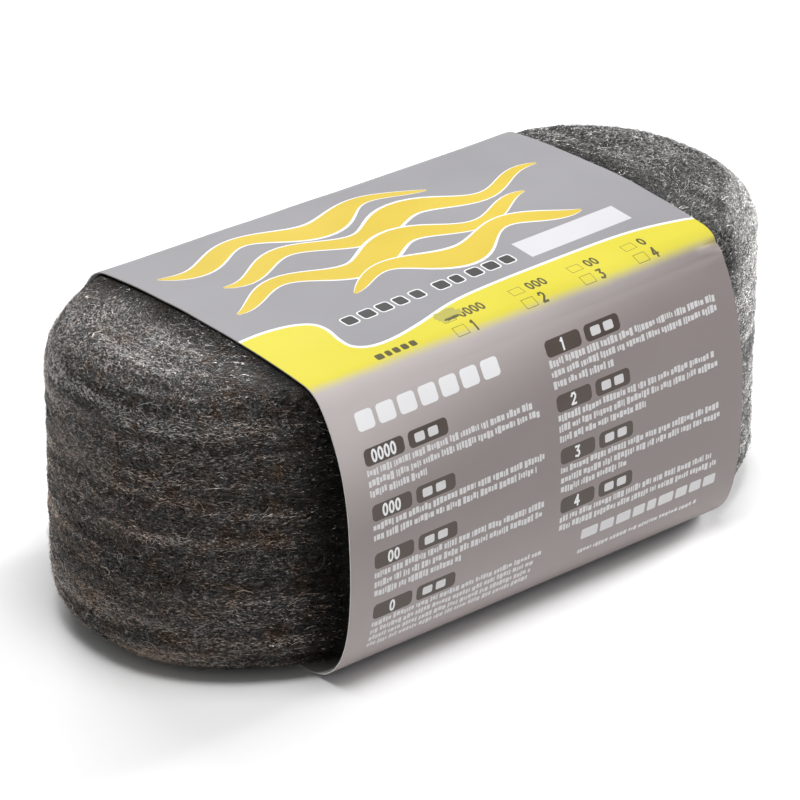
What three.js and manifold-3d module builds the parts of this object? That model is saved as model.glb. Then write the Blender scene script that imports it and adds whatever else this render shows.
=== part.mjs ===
// A pad of steel wool: one ribbon of wool wound flat into a roll, held by a printed paper sleeve.
// The roll lies along X, the printed front of the sleeve faces -Y and Z is up.
// The origin is the middle of the face that the pad rests on, and all sizes are in millimetres.

import * as THREE from "three";
import { mergeVertices } from "three/addons/utils/BufferGeometryUtils.js";
import Module from "manifold-3d";

const wasm = await Module();
wasm.setup();

// Wound roll
const ROLL_LENGTH = 162; // end to end along X
const ROLL_WIDTH = 90; // front to back where the sleeve leaves it free
const ROLL_ENDS_POWER = 2.33; // plan outline: 2 is an ellipse, more is boxier
const ROLL_EDGE_RADIUS = 9; // rounding where the top and the foot meet the side
const TURN_PITCH = 5.5; // from one turn of the ribbon to the next
const TURN_DEPTH = 0.4; // groove between two turns, on the top and the foot
const STRAND_PITCH = 6; // between the flat bundles of strands that run round the side
const STRAND_DEPTH = 0.3; // groove between two bundles
const STRAND_SWAY = 1.2; // how far a bundle rises and falls on its way round

// Waist: the section that the sleeve gives to the wool, halfway along the sleeve
const WAIST_WIDTH = 87; // at the belly
const WAIST_HEIGHT = 63.5; // foot to crown
const BELLY_LEVEL = 27.5; // height of the widest level above the foot
const FOOT_WIDTH = 60; // flat part of the foot
const FOOT_FULLNESS = 0.72; // corner between foot and belly: 0.55 is round, more is boxier
const SHOULDER_LEVEL = 48.5; // height where the sides lean in
const CREASE_WIDTH = 66.5; // between the front and the back crease
const CREASE_DROP = 2; // creases below the crown
const CREASE_ROUND = 3; // softness of a crease, measured along the paper

// Paper sleeve
const SLEEVE_LENGTH = 104; // along X
const SLEEVE_PAPER = 0.3; // thickness of the paper
const SLEEVE_FIT = 0.3; // gap between the paper and the wool
const SLEEVE_SQUEEZE = 7; // how much narrower the +X mouth is than the -X mouth
const SLEEVE_RISE = 2.4; // how much taller the +X mouth is than the -X mouth
const SEAM_START = 72; // lower edge of the glued lap on the back, along the paper from the foot's middle
const SEAM_LAP = 12; // width of the lap

// Mesh fineness
const SECTION_STEPS = 10; // points on each curve of the waist
const SEAM_STEPS = 5; // points across the lap
const ROUND_STEPS = 56; // points round the roll
const END_CROWDING = 0.25; // share by which those points crowd to the roll's ends
const FLAT_STEPS = 7; // points across the part of the top or foot that shows
const EDGE_STEPS = 11; // points on each rounded edge
const SIDE_STEPS = 27; // points up the side
const HIDDEN_REACH = 24; // radius on the flat top that always lies under the sleeve
const RELEASE = 8; // length past each mouth over which the sleeve still holds the wool
const RELEASE_SLOPE = 0.5; // how fast the wool may spread after that
const REVEAL = 10; // length under each mouth over which the grooves fade out

const FOOT_LEVEL = SLEEVE_PAPER + SLEEVE_FIT;
const MOUTH = SLEEVE_LENGTH / 2;
const TURN = 2 * Math.PI;

// Waist section

function waistPath() {
  const belly = new THREE.Vector2(WAIST_WIDTH / 2, BELLY_LEVEL);
  const shoulder = new THREE.Vector2(WAIST_WIDTH / 2, SHOULDER_LEVEL);
  const crease = new THREE.Vector2(CREASE_WIDTH / 2, WAIST_HEIGHT - CREASE_DROP);
  const crown = new THREE.Vector2(CREASE_WIDTH / 4, WAIST_HEIGHT);
  const below = shoulder.clone().sub(crease).setLength(CREASE_ROUND).add(crease);
  const above = crown.clone().sub(crease).setLength(CREASE_ROUND).add(crease);
  const corner = (belly.x - FOOT_WIDTH / 2) * FOOT_FULLNESS;
  const path = new THREE.Path();
  path.moveTo(0, 0);
  path.lineTo(FOOT_WIDTH / 2, 0);
  path.bezierCurveTo(FOOT_WIDTH / 2 + corner, 0, belly.x, belly.y * (1 - FOOT_FULLNESS), belly.x, belly.y);
  path.quadraticCurveTo(shoulder.x, shoulder.y, below.x, below.y);
  path.quadraticCurveTo(crease.x, crease.y, above.x, above.y);
  path.quadraticCurveTo(crown.x, crown.y, 0, WAIST_HEIGHT);
  return path;
}

const WAIST = waistPath();
const WAIST_POINTS = WAIST.getPoints(SECTION_STEPS);

// Points of the half section, moved outward by a distance.
function offsetPoints(points, distance) {
  const last = points.length - 1;
  return points.map((point, i) => {
    const along = points[Math.min(i + 1, last)].clone().sub(points[Math.max(i - 1, 0)]);
    const onAxis = i === 0 || i === last;
    const outward = onAxis ? new THREE.Vector2(0, i === 0 ? -1 : 1) : new THREE.Vector2(along.y, -along.x);
    return outward.setLength(distance).add(point);
  });
}

// The whole outline from its half: up the back, then down the front. The foot is one straight line.
function mirrored(half) {
  const back = half.slice(1);
  const front = half.slice(1, -1).reverse();
  return [...back, ...front.map((point) => new THREE.Vector2(-point.x, point.y))];
}

// Distance from the belly's middle to the waist outline, in the direction of a point.
function waistReach(across, level) {
  const ray = new THREE.Vector2(Math.abs(across), level - BELLY_LEVEL);
  if (ray.length() === 0) {
    return Infinity;
  }
  ray.normalize();
  for (let i = 1; i < WAIST_POINTS.length; i += 1) {
    const start = WAIST_POINTS[i - 1];
    const edge = WAIST_POINTS[i].clone().sub(start);
    const from = new THREE.Vector2(start.x, start.y - BELLY_LEVEL);
    const turning = ray.cross(edge);
    const reach = from.cross(edge) / turning;
    const share = from.cross(ray) / turning;
    if (turning > 0 && share >= 0 && share <= 1) {
      return reach;
    }
  }
  return Infinity;
}

// The sleeve is wider at its -X mouth and taller at its +X mouth.
function taper(x) {
  const share = THREE.MathUtils.clamp(x, -MOUTH, MOUTH) / SLEEVE_LENGTH;
  return {
    width: 1 - (SLEEVE_SQUEEZE * share) / WAIST_WIDTH,
    height: 1 + (SLEEVE_RISE * share) / WAIST_HEIGHT,
  };
}

// Paper sleeve

function extrudedSection(outline, hole) {
  const shape = new THREE.Shape(outline);
  if (hole) {
    shape.holes.push(new THREE.Path(hole));
  }
  const geometry = new THREE.ExtrudeGeometry(shape, { depth: SLEEVE_LENGTH, bevelEnabled: false });
  const position = geometry.getAttribute("position");
  for (let i = 0; i < position.count; i += 1) {
    const x = position.getZ(i) - MOUTH;
    const scale = taper(x);
    const foot = -FOOT_LEVEL;
    position.setXYZ(i, x, position.getX(i) * scale.width, (position.getY(i) - foot) * scale.height);
  }
  return geometry;
}

function toSolid(geometry) {
  geometry.deleteAttribute("normal");
  geometry.deleteAttribute("uv");
  const merged = mergeVertices(geometry);
  const vertProperties = new Float32Array(merged.getAttribute("position").array);
  const triVerts = new Uint32Array(merged.getIndex().array);
  return new wasm.Manifold(new wasm.Mesh({ numProp: 3, vertProperties, triVerts }));
}

function toGeometry(solid) {
  const mesh = solid.getMesh();
  const geometry = new THREE.BufferGeometry();
  geometry.setAttribute("position", new THREE.BufferAttribute(mesh.vertProperties, mesh.numProp));
  geometry.setIndex(new THREE.BufferAttribute(mesh.triVerts, 1));
  geometry.computeVertexNormals();
  return geometry;
}

// The lap: the paper's outer end lies glued on its inner end, half way into the paper below it.
function seamOutline() {
  const length = WAIST.getLength();
  const points = Array.from({ length: SEAM_STEPS + 1 }, (_, i) => {
    return WAIST.getPointAt((SEAM_START + (SEAM_LAP * i) / SEAM_STEPS) / length);
  });
  const normals = points.map((_, i) => {
    const along = WAIST.getTangentAt((SEAM_START + (SEAM_LAP * i) / SEAM_STEPS) / length);
    return new THREE.Vector2(along.y, -along.x);
  });
  const lift = (distance) => points.map((point, i) => point.clone().addScaledVector(normals[i], distance));
  const outside = lift(SLEEVE_FIT + 2 * SLEEVE_PAPER);
  const inside = lift(SLEEVE_FIT + SLEEVE_PAPER / 2);
  return [...outside, ...inside.reverse()];
}

function sleeveGeometry() {
  const outside = mirrored(offsetPoints(WAIST_POINTS, SLEEVE_FIT + SLEEVE_PAPER));
  const inside = mirrored(offsetPoints(WAIST_POINTS, SLEEVE_FIT));
  const band = toSolid(extrudedSection(outside, inside));
  const lap = toSolid(extrudedSection(seamOutline()));
  return toGeometry(band.add(lap));
}

// Wound roll

// Half of the roll's upright section, from the middle of the foot to the middle of the top.
function rollProfile() {
  const side = ROLL_WIDTH / 2;
  const flat = side - ROLL_EDGE_RADIUS;
  const top = WAIST_HEIGHT;
  const foot = new THREE.LineCurve(new THREE.Vector2(HIDDEN_REACH, 0), new THREE.Vector2(flat, 0));
  const wall = new THREE.LineCurve(
    new THREE.Vector2(side, ROLL_EDGE_RADIUS),
    new THREE.Vector2(side, top - ROLL_EDGE_RADIUS),
  );
  const crown = new THREE.LineCurve(new THREE.Vector2(flat, top), new THREE.Vector2(HIDDEN_REACH, top));
  const lower = new THREE.EllipseCurve(flat, ROLL_EDGE_RADIUS, ROLL_EDGE_RADIUS, ROLL_EDGE_RADIUS, -TURN / 4, 0);
  const upper = new THREE.EllipseCurve(flat, top - ROLL_EDGE_RADIUS, ROLL_EDGE_RADIUS, ROLL_EDGE_RADIUS, 0, TURN / 4);
  return [
    new THREE.Vector2(0, 0),
    ...foot.getPoints(FLAT_STEPS),
    ...lower.getPoints(EDGE_STEPS).slice(1),
    ...wall.getPoints(SIDE_STEPS).slice(1),
    ...upper.getPoints(EDGE_STEPS).slice(1),
    ...crown.getPoints(FLAT_STEPS).slice(1),
    new THREE.Vector2(0, top),
  ];
}

// Point and outward direction of the roll's plan outline at an angle.
function planOutline(angle) {
  const power = (value, exponent) => Math.sign(value) * Math.abs(value) ** exponent;
  const curve = 2 / ROLL_ENDS_POWER;
  const c = Math.cos(angle);
  const s = Math.sin(angle);
  const point = new THREE.Vector2((ROLL_LENGTH / 2) * power(c, curve), (ROLL_WIDTH / 2) * power(s, curve));
  const outward = new THREE.Vector2(power(c, 2 - curve) / ROLL_LENGTH, power(s, 2 - curve) / ROLL_WIDTH);
  return { point, outward: outward.normalize() };
}

// Share of the groove depth between turns or bundles, from 0 on a ridge to 1 in a groove.
function groove(phase) {
  return (1 - Math.cos(TURN * phase)) / 2;
}

function rollPoint(around, radius, level) {
  const angle = around - END_CROWDING * Math.sin(2 * around);
  const { point, outward } = planOutline(angle);
  const flat = ROLL_WIDTH / 2 - ROLL_EDGE_RADIUS;
  const rim = Math.min(ROLL_WIDTH / 2 - radius, ROLL_EDGE_RADIUS);
  const plan = point.clone().addScaledVector(outward, -rim).multiplyScalar(Math.min(radius / flat, 1));

  // Grooves go straight into the rounded surface, and fade out under the sleeve.
  const middle = WAIST_HEIGHT / 2;
  const upright = Math.sign(level - middle) * Math.max(Math.abs(level - middle) - (middle - ROLL_EDGE_RADIUS), 0);
  const tilt = Math.min(Math.abs(upright) / ROLL_EDGE_RADIUS, 1);
  const sway = STRAND_SWAY * Math.sin(3 * angle);
  const turns = TURN_DEPTH * groove((ROLL_WIDTH / 2 - radius) / TURN_PITCH + angle / TURN);
  const strands = STRAND_DEPTH * groove((level + sway) / STRAND_PITCH);
  const shown = THREE.MathUtils.smoothstep(Math.abs(plan.x), MOUTH - REVEAL, MOUTH);
  plan.addScaledVector(outward, -shown * strands * (1 - tilt));
  const lift = level - Math.sign(upright) * shown * turns * tilt;

  // Under the sleeve the wool keeps inside the waist.
  const scale = taper(plan.x);
  const across = plan.y / scale.width;
  const slack = Math.max(Math.abs(plan.x) - MOUTH - RELEASE, 0) * RELEASE_SLOPE;
  const reach = Math.hypot(across, lift - BELLY_LEVEL);
  const held = reach > 0 ? Math.min((waistReach(across, lift) + slack) / reach, 1) : 1;
  return new THREE.Vector3(
    plan.x,
    plan.y * held,
    FOOT_LEVEL + (BELLY_LEVEL + (lift - BELLY_LEVEL) * held) * scale.height,
  );
}

function rollGeometry() {
  const geometry = new THREE.LatheGeometry(rollProfile(), ROUND_STEPS);
  const position = geometry.getAttribute("position");
  for (let i = 0; i < position.count; i += 1) {
    const step = Math.floor(i / (position.count / (ROUND_STEPS + 1))) % ROUND_STEPS;
    const radius = Math.hypot(position.getX(i), position.getZ(i));
    position.setXYZ(i, ...rollPoint((TURN * step) / ROUND_STEPS, radius, position.getY(i)));
  }
  geometry.computeVertexNormals();
  return geometry;
}

// Assembly

function part(name, geometry, look) {
  const mesh = new THREE.Mesh(geometry, new THREE.MeshStandardMaterial(look));
  mesh.name = name;
  return mesh;
}

const pad = new THREE.Group();
pad.add(
  part("steel_wool_roll", rollGeometry(), { color: 0x4c4946, roughness: 0.5, metalness: 0.9 }),
  part("paper_sleeve", sleeveGeometry(), { color: 0x9b9798, roughness: 0.6, metalness: 0 }),
);

export default pad;
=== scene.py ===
"""A pad of steel wool: a flat-wound roll of steel strands held in a printed paper sleeve.

The roll lies along X, the printed front of the sleeve faces -Y and Z is up. Everything is in metres, in the
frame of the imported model, whose origin is the middle of the face that the pad rests on. Only the layout of
the print is in millimetres, on the flat paper.
"""

import logging
import math
from dataclasses import dataclass, field, replace
from enum import Enum

import bpy
import numpy as np
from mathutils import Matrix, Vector
from mathutils.geometry import delaunay_2d_cdt


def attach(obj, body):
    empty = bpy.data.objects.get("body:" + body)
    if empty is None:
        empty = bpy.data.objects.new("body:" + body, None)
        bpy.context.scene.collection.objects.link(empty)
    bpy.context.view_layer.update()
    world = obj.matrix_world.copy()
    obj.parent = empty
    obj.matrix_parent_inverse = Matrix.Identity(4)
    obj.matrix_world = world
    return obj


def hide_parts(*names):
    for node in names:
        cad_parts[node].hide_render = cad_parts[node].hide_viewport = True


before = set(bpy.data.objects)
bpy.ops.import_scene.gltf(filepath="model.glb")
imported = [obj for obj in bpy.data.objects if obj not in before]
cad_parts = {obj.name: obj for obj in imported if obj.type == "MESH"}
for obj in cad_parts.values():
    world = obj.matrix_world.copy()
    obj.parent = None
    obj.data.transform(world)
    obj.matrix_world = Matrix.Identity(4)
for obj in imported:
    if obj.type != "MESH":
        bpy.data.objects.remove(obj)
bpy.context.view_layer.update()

log = logging.getLogger("steel_wool_pad")

MM = 0.001
TURN = 2 * math.pi
BODY = "root"
MAP_NAME = "OFBake"
TINY = 1e-12

Colour = tuple[float, float, float]
Limits = tuple[float, float]
Point = tuple[float, float]


# Shared tools


def smooth(low: float | np.ndarray, high: float, value: np.ndarray) -> np.ndarray:
    """Eases from 0 at low to 1 at high.

    Args:
        low: Value where the step starts.
        high: Value where the step ends.
        value: Values to ease.

    Returns:
        The eased shares, from 0 to 1.
    """
    share = np.clip((value - low) / (high - low), 0, 1)
    return share * share * (3 - 2 * share)


def bezier(*controls: Point | np.ndarray, steps: int) -> np.ndarray:
    """Samples a Bezier curve of any degree.

    Args:
        controls: Control points in the plane.
        steps: How many stretches the curve is cut into.

    Returns:
        Points along the curve, one more than steps.
    """
    share = np.linspace(0, 1, steps + 1)[:, None]
    points = [np.array(control, float)[None, :] for control in controls]
    while len(points) > 1:
        points = [(1 - share) * a + share * b for a, b in zip(points, points[1:])]
    return points[0]


def signed_power(value: np.ndarray, exponent: float) -> np.ndarray:
    """Raises the size of a number to a power and keeps its sign."""
    return np.sign(value) * np.abs(value) ** exponent


def unit(vectors: np.ndarray) -> np.ndarray:
    """Scales vectors, which lie along the last axis, to a length of 1."""
    return vectors / np.maximum(np.linalg.norm(vectors, axis=-1, keepdims=True), TINY)


class Lattice:
    """Smooth random field over a plane that repeats along both sides."""

    def __init__(self, seed: int, columns: int, rows: int) -> None:
        """Draws the lattice's random values.

        Args:
            seed: Seed of the draw.
            columns: Lattice cells along the first coordinate.
            rows: Lattice cells along the second coordinate.
        """
        self.values = np.random.default_rng(seed).uniform(-1, 1, (columns, rows))

    def at(self, across: np.ndarray, along: np.ndarray) -> np.ndarray:
        """Reads the field.

        Args:
            across: First coordinate, where 1 is the whole lattice.
            along: Second coordinate, where 1 is the whole lattice.

        Returns:
            Values from -1 to 1.
        """
        columns, rows = self.values.shape
        u, v = across * columns, along * rows
        i, j = np.floor(u).astype(int), np.floor(v).astype(int)
        s, t = smooth(0, 1, u - i), smooth(0, 1, v - j)
        left, right = i % columns, (i + 1) % columns
        low, high = j % rows, (j + 1) % rows
        near = self.values[left, low] * (1 - s) + self.values[right, low] * s
        far = self.values[left, high] * (1 - s) + self.values[right, high] * s
        return near * (1 - t) + far * t


def new_object(
    name: str, mesh: bpy.types.Mesh, materials: list[bpy.types.Material]
) -> bpy.types.Object:
    """Links a mesh into the scene as a piece of the pad.

    Args:
        name: Name of the piece.
        mesh: Its mesh.
        materials: Its materials, in slot order.

    Returns:
        The new object, riding on the pad's one body.
    """
    for material in materials:
        mesh.materials.append(material)
    piece = bpy.data.objects.new(name, mesh)
    bpy.context.scene.collection.objects.link(piece)
    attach(piece, BODY)
    return piece


def new_mesh(name: str, points: np.ndarray, faces: np.ndarray) -> bpy.types.Mesh:
    """Makes a mesh from points and faces of one length.

    Args:
        name: Name of the mesh.
        points: Vertex places.
        faces: Vertex numbers of each face, all with as many corners.

    Returns:
        The mesh, shaded smooth.
    """
    mesh = bpy.data.meshes.new(name)
    count, corners = faces.shape
    mesh.vertices.add(len(points))
    mesh.vertices.foreach_set("co", points.astype(np.float32).ravel())
    mesh.loops.add(count * corners)
    mesh.loops.foreach_set("vertex_index", faces.astype(np.int32).ravel())
    mesh.polygons.add(count)
    mesh.polygons.foreach_set("loop_start", np.arange(0, count * corners, corners, dtype=np.int32))
    mesh.update(calc_edges=True)
    mesh.polygons.foreach_set("use_smooth", np.ones(count, bool))
    return mesh


def set_map(mesh: bpy.types.Mesh, places: np.ndarray) -> None:
    """Gives a mesh its texture map, from the map place of each face corner."""
    layer = mesh.uv_layers.new(name=MAP_NAME)
    layer.data.foreach_set("uv", places.astype(np.float32).ravel())


class Shader:
    """A node material in the making, with short calls for its nodes."""

    def __init__(self, name: str) -> None:
        """Makes an empty material around one principled shader.

        Args:
            name: Name of the material.
        """
        self.material = bpy.data.materials.new(name)
        self.material.use_nodes = True
        self.tree = self.material.node_tree
        self.surface = self.tree.nodes["Principled BSDF"]

    def feed(self, socket: bpy.types.NodeSocket, value: object) -> None:
        """Links another socket into an input, or sets the input to a value.

        Args:
            socket: The input.
            value: The other socket, or the value.
        """
        if isinstance(value, bpy.types.NodeSocket):
            self.tree.links.new(value, socket)
        else:
            socket.default_value = value

    def node(self, kind: str, inputs: dict | None = None, **settings: object) -> bpy.types.Node:
        """Adds a node.

        Args:
            kind: Blender's name of the node.
            inputs: Values or sockets for its inputs, by name or number.
            settings: Values for its own properties.

        Returns:
            The node.
        """
        made = self.tree.nodes.new(kind)
        for key, value in settings.items():
            setattr(made, key, value)
        for key, value in (inputs or {}).items():
            self.feed(made.inputs[key], value)
        return made

    def set(self, **inputs: object) -> None:
        """Sets the principled shader's inputs, with underscores for the spaces in their names."""
        for key, value in inputs.items():
            self.feed(self.surface.inputs[key.replace("_", " ")], value)

    def maths(self, operation: str, *values: object) -> bpy.types.NodeSocket:
        """Adds a sum of numbers and sockets.

        Args:
            operation: Blender's name of the operation.
            values: Its terms.

        Returns:
            The result.
        """
        made = self.node("ShaderNodeMath", dict(enumerate(values)), operation=operation)
        return made.outputs[0]

    def ranged(
        self, value: bpy.types.NodeSocket, *limits: float, ease: str = "LINEAR"
    ) -> bpy.types.NodeSocket:
        """Maps a value from one range to another, held at its ends.

        Args:
            value: What is mapped.
            limits: Start and end of the first range, then of the second, which is 0 to 1 if left out.
            ease: Blender's name of the way between the ends.

        Returns:
            The mapped value.
        """
        inputs = {0: value, **dict(enumerate(limits, 1))}
        return self.node("ShaderNodeMapRange", inputs, interpolation_type=ease).outputs[0]

    def ramp(
        self, factor: bpy.types.NodeSocket, stops: tuple[tuple[float, Colour], ...]
    ) -> bpy.types.NodeSocket:
        """Adds a colour ramp.

        Args:
            factor: What the ramp reads.
            stops: Place and colour of each stop, in order.

        Returns:
            The colour.
        """
        made = self.node("ShaderNodeValToRGB", {0: factor})
        elements = made.color_ramp.elements
        while len(elements) < len(stops):
            elements.new(1)
        for element, (place, colour) in zip(elements, stops):
            element.position = place
            element.color = (*colour, 1)
        return made.outputs[0]

    def mix(self, factor: object, first: object, second: object, blend: str = "MIX") -> bpy.types.NodeSocket:
        """Mixes two colours.

        Args:
            factor: Share of the second colour.
            first: First colour or socket.
            second: Second colour or socket.
            blend: Blender's name of the way of mixing.

        Returns:
            The colour.
        """
        made = self.node("ShaderNodeMix", data_type="RGBA", blend_type=blend, clamp_factor=True)
        self.feed(made.inputs[0], factor)
        for number, value in ((6, first), (7, second)):
            self.feed(made.inputs[number], (*value, 1) if isinstance(value, tuple) else value)
        return made.outputs[2]

    def noise(
        self, scale: float, detail: float, vector: bpy.types.NodeSocket, rough: float = 0.5
    ) -> bpy.types.NodeSocket:
        """Adds fractal noise.

        Args:
            scale: How fine it is.
            detail: How many octaves it has.
            vector: Where it is read.
            rough: How strong the finer octaves are.

        Returns:
            The noise, about 0 to 1.
        """
        inputs = {"Vector": vector, "Scale": scale, "Detail": detail, "Roughness": rough}
        return self.node("ShaderNodeTexNoise", inputs).outputs["Fac"]

    def place(self) -> bpy.types.NodeSocket:
        """Gives the place on the object, in metres."""
        return self.node("ShaderNodeTexCoord").outputs["Object"]

    def mapped(self) -> bpy.types.NodeSocket:
        """Gives the place on the piece's own map."""
        return self.node("ShaderNodeUVMap", uv_map=MAP_NAME).outputs[0]

    def split(self, vector: bpy.types.NodeSocket) -> bpy.types.NodeOutputs:
        """Splits a place into its coordinates."""
        return self.node("ShaderNodeSeparateXYZ", {0: vector}).outputs

    def stretched(self, vector: bpy.types.NodeSocket, scale: Point) -> bpy.types.NodeSocket:
        """Scales a place on the map by a factor along each side."""
        return self.node("ShaderNodeMapping", {"Vector": vector, "Scale": (*scale, 1)}).outputs[0]

    def bump(self, height: bpy.types.NodeSocket, depth: float, strength: float) -> None:
        """Roughens the surface.

        Args:
            height: Height of the relief, 0 to 1.
            depth: Depth of the relief, in metres.
            strength: Share of it that shows.
        """
        made = self.node("ShaderNodeBump", {"Height": height, "Distance": depth, "Strength": strength})
        self.set(Normal=made.outputs[0])


# Section of the sleeve


@dataclass(frozen=True)
class Waist:
    """Upright section that the sleeve gives to the wool, halfway along the sleeve.

    The half outline has five pieces of as many steps, and crease_at pieces lie below the crease's middle.
    """

    width: float = 87 * MM
    height: float = 63.5 * MM
    belly: float = 27.5 * MM
    foot: float = 60 * MM
    fullness: float = 0.72
    shoulder: float = 48.5 * MM
    crease: float = 66.5 * MM
    crease_drop: float = 2 * MM
    crease_round: float = 3 * MM
    crease_at: float = 3.5
    steps: int = 60

    def half(self) -> np.ndarray:
        """Samples the back half of the outline.

        Returns:
            Points from the foot's middle to the crown.
        """
        side, middle = self.width / 2, self.foot / 2
        crease = np.array([self.crease / 2, self.height - self.crease_drop])
        shoulder = np.array([side, self.shoulder])
        crown = np.array([self.crease / 4, self.height])
        below = crease + unit(shoulder - crease) * self.crease_round
        above = crease + unit(crown - crease) * self.crease_round
        corner = middle + (side - middle) * self.fullness
        lean = self.belly * (1 - self.fullness)
        return np.concatenate([
            bezier((0, 0), (middle, 0), steps=self.steps),
            bezier((middle, 0), (corner, 0), (side, lean), (side, self.belly), steps=self.steps)[1:],
            bezier((side, self.belly), shoulder, below, steps=self.steps)[1:],
            bezier(below, crease, above, steps=self.steps)[1:],
            bezier(above, crown, (0, self.height), steps=self.steps)[1:],
        ])


@dataclass
class SleeveForm:
    """Surface on which the sleeve's paper lies, by its place along X and its distance along the paper.

    The distance is 0 on the front crease, grows down the front, under the foot and up the back, and is
    negative on the top and down the back from there. The +X mouth is narrower than the -X mouth by squeeze
    and taller by rise, and fit is the gap between the wool and the paper.
    """

    waist: Waist
    length: float
    fit: float
    paper: float
    squeeze: float
    rise: float

    def __post_init__(self) -> None:
        """Measures the section once."""
        self.points = self.waist.half()
        steps = np.linalg.norm(np.diff(self.points, axis=0), axis=1)
        self.arc = np.concatenate([[0], np.cumsum(steps)])
        along = np.gradient(self.points, axis=0)
        self.normals = unit(np.stack([along[:, 1], -along[:, 0]], -1))
        self.reach = self.arc[-1]
        self.crease = self.arc[int(self.waist.crease_at * self.waist.steps)]

    def taper(self, x: np.ndarray) -> tuple[np.ndarray, np.ndarray]:
        """Gives the scales of the section's width and height at a place along X."""
        share = np.clip(x, -self.length / 2, self.length / 2) / self.length
        return 1 - self.squeeze * share / self.waist.width, 1 + self.rise * share / self.waist.height

    def place(self, x: np.ndarray, down: np.ndarray, lift: np.ndarray) -> np.ndarray:
        """Puts points of the flat paper onto the sleeve.

        Args:
            x: Place along X.
            down: Distance along the paper from the front crease.
            lift: Distance out of the paper's inner face.

        Returns:
            Points in the pad's frame.
        """
        run = self.crease - down
        back = np.where(run < 0, -run, np.where(run > self.reach, 2 * self.reach - run, run))
        side = np.where((run < 0) | (run > self.reach), 1.0, -1.0)
        out = self.fit + lift
        across, level = (
            np.interp(back, self.arc, self.points[:, k]) + out * np.interp(back, self.arc, self.normals[:, k])
            for k in range(2)
        )
        wide, tall = self.taper(x)
        return np.stack([x, side * across * wide, (level + self.fit + self.paper) * tall], -1)


# Print on the sleeve


class Ink(Enum):
    """What covers a stretch of the paper, in the order of the sleeve's material slots."""

    PAPER = 0
    YELLOW = 1
    WHITE = 2
    BADGE = 3
    DARK = 4
    GOLD = 5
    SMUDGE = 6
    FRONT = 7
    INSIDE = 8
    FINE = 9
    OLIVE = 10
    BLANK = 11


@dataclass(frozen=True)
class Patch:
    """One printed shape: its ink and its outline on the flat paper, in metres."""

    ink: Ink
    outline: np.ndarray


@dataclass(frozen=True)
class Bar:
    """A rectangle on the flat paper: left edge, upper edge, width, height and radius of its corners."""

    x: float
    down: float
    wide: float
    tall: float
    corner: float = 0.0

    def moved(self, x: float, down: float = 0.0) -> "Bar":
        """Gives the rectangle further along X and down the paper."""
        return replace(self, x=self.x + x, down=self.down + down)

    def grown(self, rim: float) -> "Bar":
        """Gives the rectangle with a rim all round."""
        corner = self.corner + rim if self.corner else 0.0
        return Bar(self.x - rim, self.down - rim, self.wide + 2 * rim, self.tall + 2 * rim, corner)

    def outline(self, steps: int = 5) -> list[Point]:
        """Draws the outline.

        Args:
            steps: How many stretches a round corner is cut into.

        Returns:
            Its points, in order.
        """
        right, low = self.x + self.wide, self.down + self.tall
        if not self.corner:
            return [(self.x, self.down), (right, self.down), (right, low), (self.x, low)]
        inner_x = (self.x + self.corner, right - self.corner)
        inner_down = (self.down + self.corner, low - self.corner)
        points = []
        for quarter, (i, j) in enumerate(((1, 0), (1, 1), (0, 1), (0, 0))):
            for step in range(steps + 1):
                angle = TURN / 4 * (quarter - 1 + step / steps)
                x = inner_x[i] + self.corner * math.cos(angle)
                points.append((x, inner_down[j] + self.corner * math.sin(angle)))
        return points


@dataclass(frozen=True)
class Figures:
    """Plain figures from 0 to 4, drawn as strokes in a square, by shares of a figure's height."""

    width: float = 0.66
    fill: float = 0.86
    pen: float = 0.19
    ring_wide: float = 0.36
    ring_tall: float = 0.46
    ring_steps: int = 12

    def line(self, figure: str) -> list[Point]:
        """Draws one figure.

        Args:
            figure: The figure.

        Returns:
            Points of its stroke in a square of side 1.
        """
        turns = [TURN * step / self.ring_steps for step in range(self.ring_steps + 1)]
        ring = [(0.5 + self.ring_wide * math.sin(t), 0.5 - self.ring_tall * math.cos(t)) for t in turns]
        one = [(0.25, 0.22), (0.52, 0.04), (0.52, 0.98)]
        two = [
            (0.12, 0.25), (0.28, 0.06), (0.68, 0.06), (0.86, 0.27), (0.78, 0.47), (0.12, 0.94), (0.9, 0.94),
        ]
        three = [
            (0.14, 0.08), (0.84, 0.08), (0.46, 0.42), (0.8, 0.56), (0.84, 0.78), (0.62, 0.95), (0.14, 0.88),
        ]
        four = [(0.66, 0.98), (0.66, 0.04), (0.1, 0.68), (0.94, 0.68)]
        return {"0": ring, "1": one, "2": two, "3": three, "4": four}[figure]


@dataclass(frozen=True)
class Motif:
    """The large motif on the top: wavy strands, each with its left end, level, length and phase."""

    strands: tuple[tuple[float, float, float, float], ...] = (
        (-47, -54, 66, 0.2), (-40, -44, 84, 0.9), (-45, -34, 78, 1.7), (-22, -25.5, 58, 2.4),
    )
    swing: float = 3.1
    wave: float = 31
    half: float = 3.1
    rim: float = 0.6
    points: int = 49
    tip: float = 0.004
    swell: float = 0.6
    uneven: float = 0.25

    def outlines(self) -> list[tuple[Ink, np.ndarray]]:
        """Draws the strands.

        Returns:
            The white rim and the yellow field of each strand, in the order of printing.
        """
        drawn = []
        share = np.linspace(0, 1, self.points)
        bulge = np.sin(math.pi * np.clip(share, self.tip, 1 - self.tip)) ** self.swell
        for left, down, long, phase in self.strands:
            level = down + self.swing * np.sin(TURN * (long * share / self.wave + phase / TURN))
            line = np.stack([left + long * share, level], -1)
            along = np.gradient(line, axis=0)
            aside = unit(np.stack([-along[:, 1], along[:, 0]], -1))
            thick = bulge * (1 + self.uneven * np.sin(TURN * 2 * share + phase))
            for ink, half in ((Ink.WHITE, self.half + self.rim), (Ink.GOLD, self.half)):
                wide = half * thick[:, None]
                drawn.append((ink, np.concatenate([line + aside * wide, (line - aside * wide)[::-1]])))
        return drawn


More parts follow.
